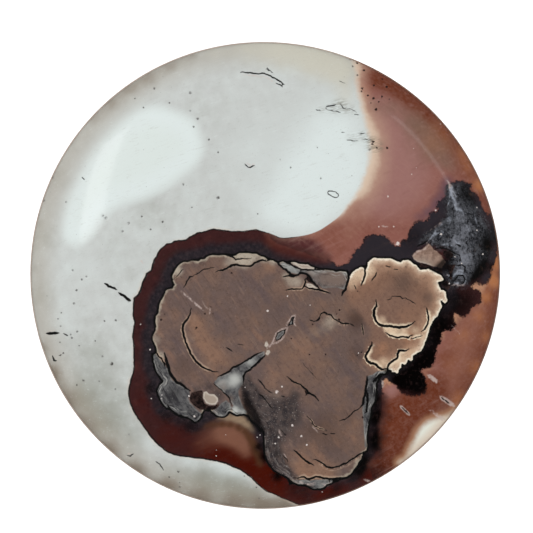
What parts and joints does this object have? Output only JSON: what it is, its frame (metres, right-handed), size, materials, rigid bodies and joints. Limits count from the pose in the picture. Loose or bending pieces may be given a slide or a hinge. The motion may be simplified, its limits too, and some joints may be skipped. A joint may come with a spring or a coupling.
{
  "type": "coffee bean jasper cabochon",
  "caption": "Round low-domed polished stone with a flat bevelled back, grey-white chalcedony on one side and brown bean-shaped jasper on the other.",
  "frame": {"origin": "middle of the flat back", "axes": "+Z out of the crown of the dome, +Y the top of the stone as the picture shows it, +X its right"},
  "size_m": [0.0354, 0.035, 0.0056],
  "materials": {
    "stone": "polished"
  },
  "bodies": {
    "root": {"cabochon": "stone"}
  },
  "joints": []
}
